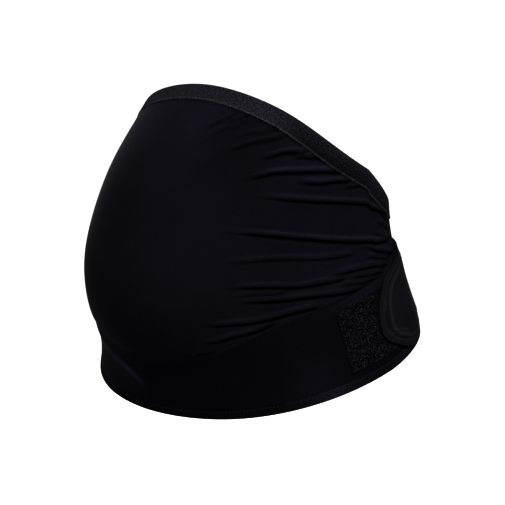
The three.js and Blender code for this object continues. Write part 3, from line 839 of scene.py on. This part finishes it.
def back_belt():
    phi = belt_columns(TIP + 0.04, count(110), 1.9, count(110))
    low, high = belt_low(phi)[:, None], belt_high(phi)[:, None]
    z, z_inner = [
        mix(low, high, mix(t, 0.5 - 0.5 * np.cos(math.pi * t), 0.75)[None])
        for t in (np.linspace(0, 1, count(108)), np.linspace(0, 1, count(36)))
    ]
    column = phi[:, None]
    base = belt_base(column)
    thick, rim, padded, distance = belt_profile(column, z)
    past_border = distance - BORDER_W
    in_groove = bell(past_border, -BORDER_GROOVE_IN, 0.8)
    rows = tab_row_groove(column, z)
    quilt = 0.12 * np.sin(column * 1.1) * np.sin(band_share(column, z) * 5) * padded
    outer = base + thick / 2 * (1 + rim) - 0.8 * in_groove - rows + quilt
    inner_thick, inner_rim = belt_profile(column, z_inner)[:2]
    # Painted shade in the groove inside the border, painted highlights on the border and on the pad's edge, and
    # lighter along the two sewn rows across each end
    tone = 0.35 * in_groove - 2.5 * rows - 0.8 * bell(past_border, 1.4, 1.1) - 0.4 * bell(past_border, -2.9, 1.0)
    return shell("padded_back_belt", phi, z, base + inner_thick / 2 * (1 - inner_rim), outer,
                 material=M_BELT, z_inner=z_inner, tone=np.clip(tone, -1, 1))


def belt_profile(phi, z):
    """Thickness of the belt in mm, its rounding at the rim, its padding, and the distance from its outline."""
    distance = belt_edge_distance(phi, z)
    padded = smooth(distance, BORDER_W - BORDER_GROOVE_IN, BORDER_W + PAD_RISE)
    rim = np.sqrt(np.clip(1 - (1 - np.clip(distance / 0.9, 0, 1)) ** 2, 0, 1))
    return mix(BORDER_T, BELT_T, padded), rim, padded, distance


def tab_row_share(turn, row):
    return TAB_ROW_SHARE - TAB_ROW_SLOPE * (turn - TAB_ROW_TURN) - TAB_ROW_GAP * row


def tab_row_groove(phi, z):
    """Two rows of stitching through each end of the belt, low down across the hidden closure."""
    turn = belt_turn(phi)
    share = band_share(phi, z)
    lines = sum(bell(share, tab_row_share(turn, row), TAB_ROW_WIDTH) for row in TAB_ROWS)
    sewn = smooth(turn, TAB_ROW_FROM - 1, TAB_ROW_FROM)
    return TAB_ROW_DEPTH * lines * sewn * (1 - smooth(turn, TAB_ROW_TO, TAB_ROW_TO + 1))


# ---------------------------------------------------------------- stitching
def stitches(name, phi, z, lift, length, gap, radius, rise, zigzag=0.0):
    """Thread stitches along a path given by close samples of angle, height and distance."""
    path = cloth(phi, z, lift)
    out = normal(phi, z)
    s = np.concatenate([[0], np.cumsum(np.linalg.norm(np.diff(path, axis=0), axis=1))])
    n = int(s[-1] // (length + gap))
    starts = np.linspace(0, s[-1] - length, n)
    u = np.linspace(0, 1, 5)
    at = starts[:, None] + u[None] * length
    points, outward = [np.stack([np.interp(at, s, a[:, k]) for k in range(3)], -1) for a in (path, out)]
    along = np.gradient(points, axis=1)
    along /= np.linalg.norm(along, axis=-1, keepdims=True)
    across = np.cross(outward, along)
    hump = (rise * np.sin(math.pi * u) - radius * 0.6)[None, :, None]
    sway = (zigzag * (2 * u - 1))[None, :, None] * np.where(np.arange(n) % 2, -1, 1)[:, None, None]
    return tube_strands(name, points + outward * hump + across * sway, radius, 5, M_THREAD)


def joined(objects, name):
    for o in bpy.context.selected_objects:
        o.select_set(False)
    for o in objects:
        o.select_set(True)
    bpy.context.view_layer.objects.active = objects[0]
    bpy.ops.object.join()
    objects[0].name = name
    return objects[0]


panel = belly_panel()
rear = back_panel()
elastic = top_elastic()
band = lower_band()
hem = bottom_hem()
LOOP_PATCH = (LOOP_FROM, LOOP_TO, LOOP_LOW, LOOP_HIGH, LOOP_BASE, LOOP_T, M_LOOP)
HOOK_PATCH = (HOOK_FROM, HOOK_TO, HOOK_LOW, HOOK_HIGH, HOOK_BASE, HOOK_T, M_HOOK)
loop_left, loop_right = patch("loop_base_left", 1, *LOOP_PATCH), patch("loop_base_right", -1, *LOOP_PATCH)
hook_left, hook_right = patch("hook_tape_left", 1, *HOOK_PATCH), patch("hook_tape_right", -1, *HOOK_PATCH)
belt = back_belt()
loops_left, loops_right = pile_loops(1), pile_loops(-1)

ring = np.linspace(-180, 180, 1400)
hem_rows = [
    stitches(f"hem_row_{k}", ring, edge("bottom", ring) + (hem_top(ring) - edge("bottom", ring)) * share,
             np.full(ring.shape, HEM_T - 0.32), length=2.6, gap=1.1, radius=0.22, rise=0.16)
    for k, share in enumerate((0.74, 0.86))
]
hem_thread = joined(hem_rows, "hem_stitching")
elastic_thread = stitches("elastic_stitching", ring, elastic_low(ring) + height_of(1.5, "top", ring),
                          np.full(ring.shape, ELASTIC_T + 0.02),
                          length=2.4, gap=0.5, radius=0.2, rise=0.12, zigzag=0.7)


def belt_border_path(inset):
    """Angles, and heights at the lower and upper edge, of a line inside the belt's outline."""
    phi = belt_columns(TIP, 160, 2, 220)
    z = mix(belt_low(phi)[:, None], belt_high(phi)[:, None], np.linspace(0, 1, 900)[None])
    inside = belt_edge_distance(phi[:, None], z) > inset
    keep = inside.any(1)
    column = np.arange(len(phi))
    first, last = inside.argmax(1), z.shape[1] - 1 - inside[:, ::-1].argmax(1)
    return phi[keep], z[column, first][keep], z[column, last][keep]


def belt_stitching():
    phi, *edges = belt_border_path(BORDER_W - BORDER_GROOVE_IN)
    rows = []
    for k, z in enumerate(edges):
        rows.append(stitches(f"belt_row_{k}", phi, z, belt_base(phi) + BORDER_T - 0.1,
                             length=2.8, gap=1.2, radius=0.22, rise=0.2))
    for sign in (1, -1):
        for row in TAB_ROWS:
            turn = np.linspace(TAB_ROW_FROM, TAB_ROW_TO, 80)
            a = TIP + turn if sign > 0 else 360 - TIP - turn
            z = over_band(a, tab_row_share(turn, row))
            lift = belt_base(a) + belt_profile(a, z)[0] - 0.08
            rows.append(stitches(f"tab_row_{sign}_{row}", a, z, lift,
                                 length=2.4, gap=0.9, radius=0.2, rise=0.15))
    return joined(rows, "belt_stitching")


belt_thread = belt_stitching()

# ---------------------------------------------------------------- what each piece is
PIECES = [
    (panel, "belly_panel", "microfibre"), (rear, "back_panel", "microfibre"), (elastic, "top_elastic", "elastic"),
    (band, "lower_band", "band_cloth"), (hem, "bottom_hem", "hem_binding"),
    (loop_left, "loop_patch_left", "loop_pile"), (loop_right, "loop_patch_right", "loop_pile"),
    (hook_left, "hook_patch_left", "hook_tape"), (hook_right, "hook_patch_right", "hook_tape"),
    (belt, "back_belt", "belt_cloth"),
]
for piece, node, slot_name in PIECES:
    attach(piece, "root")
    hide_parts(node)
for piece, slot_name in (
    (loops_left, "loop_pile"), (loops_right, "loop_pile"), (hem_thread, "hem_binding"),
    (elastic_thread, "elastic"), (belt_thread, "belt_cloth"),
):
    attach(piece, "root")

# ---------------------------------------------------------------- floor and light
FLOOR_BELOW, FLOOR_HALF = 0.5, 60.0
WORLD_STRENGTH, VIEW_GAMMA = 0.07, 0.6

floor_mesh = bpy.data.meshes.new("floor")
floor_z = cad_box[0][2] - FLOOR_BELOW
floor_mesh.from_pydata(
    [(x, y, floor_z) for x, y in ((-FLOOR_HALF, -FLOOR_HALF), (FLOOR_HALF, -FLOOR_HALF),
                                  (FLOOR_HALF, FLOOR_HALF), (-FLOOR_HALF, FLOOR_HALF))], [], [(0, 1, 2, 3)])
floor = bpy.data.objects.new("floor", floor_mesh)
bpy.context.scene.collection.objects.link(floor)
floor_material = bpy.data.materials.new("pale_floor")
floor_material.use_nodes = True
floor_shader = floor_material.node_tree.nodes["Principled BSDF"]
floor_shader.inputs["Base Color"].default_value = (0.92, 0.92, 0.92, 1)
floor_shader.inputs["Roughness"].default_value = 0.9
floor_shader.inputs["Specular IOR Level"].default_value = 0.1
floor_mesh.materials.append(floor_material)


def add_light(name, kind, energy, rotation):
    data = bpy.data.lights.new(name, kind)
    data.energy = energy
    light = bpy.data.objects.new(name, data)
    light.rotation_euler = rotation
    bpy.context.scene.collection.objects.link(light)
    return light


def area_light(name, azimuth, elevation, distance, size, power):
    a, e = math.radians(azimuth), math.radians(elevation)
    light = add_light(name, "AREA", power, (math.pi / 2 - e, 0, a))
    light.data.size = size
    light.location = (distance * math.sin(a) * math.cos(e), -distance * math.cos(a) * math.cos(e),
                      distance * math.sin(e))


sun = add_light("key_softbox", "SUN", 5.4, (math.radians(90 - 40), 0, math.radians(60)))
sun.data.angle = math.radians(26)
area_light("left_rim", azimuth=-98, elevation=12, distance=2.4, size=1.2, power=26)
area_light("right_rim", azimuth=150, elevation=20, distance=2.4, size=1.4, power=9)

world = bpy.data.worlds.new("studio")
bpy.context.scene.world = world
world.use_nodes = True
world.node_tree.nodes["Background"].inputs["Color"].default_value = (1, 1, 1, 1)
world.node_tree.nodes["Background"].inputs["Strength"].default_value = WORLD_STRENGTH
bpy.context.scene.view_settings.view_transform = "Standard"
bpy.context.scene.view_settings.gamma = VIEW_GAMMA
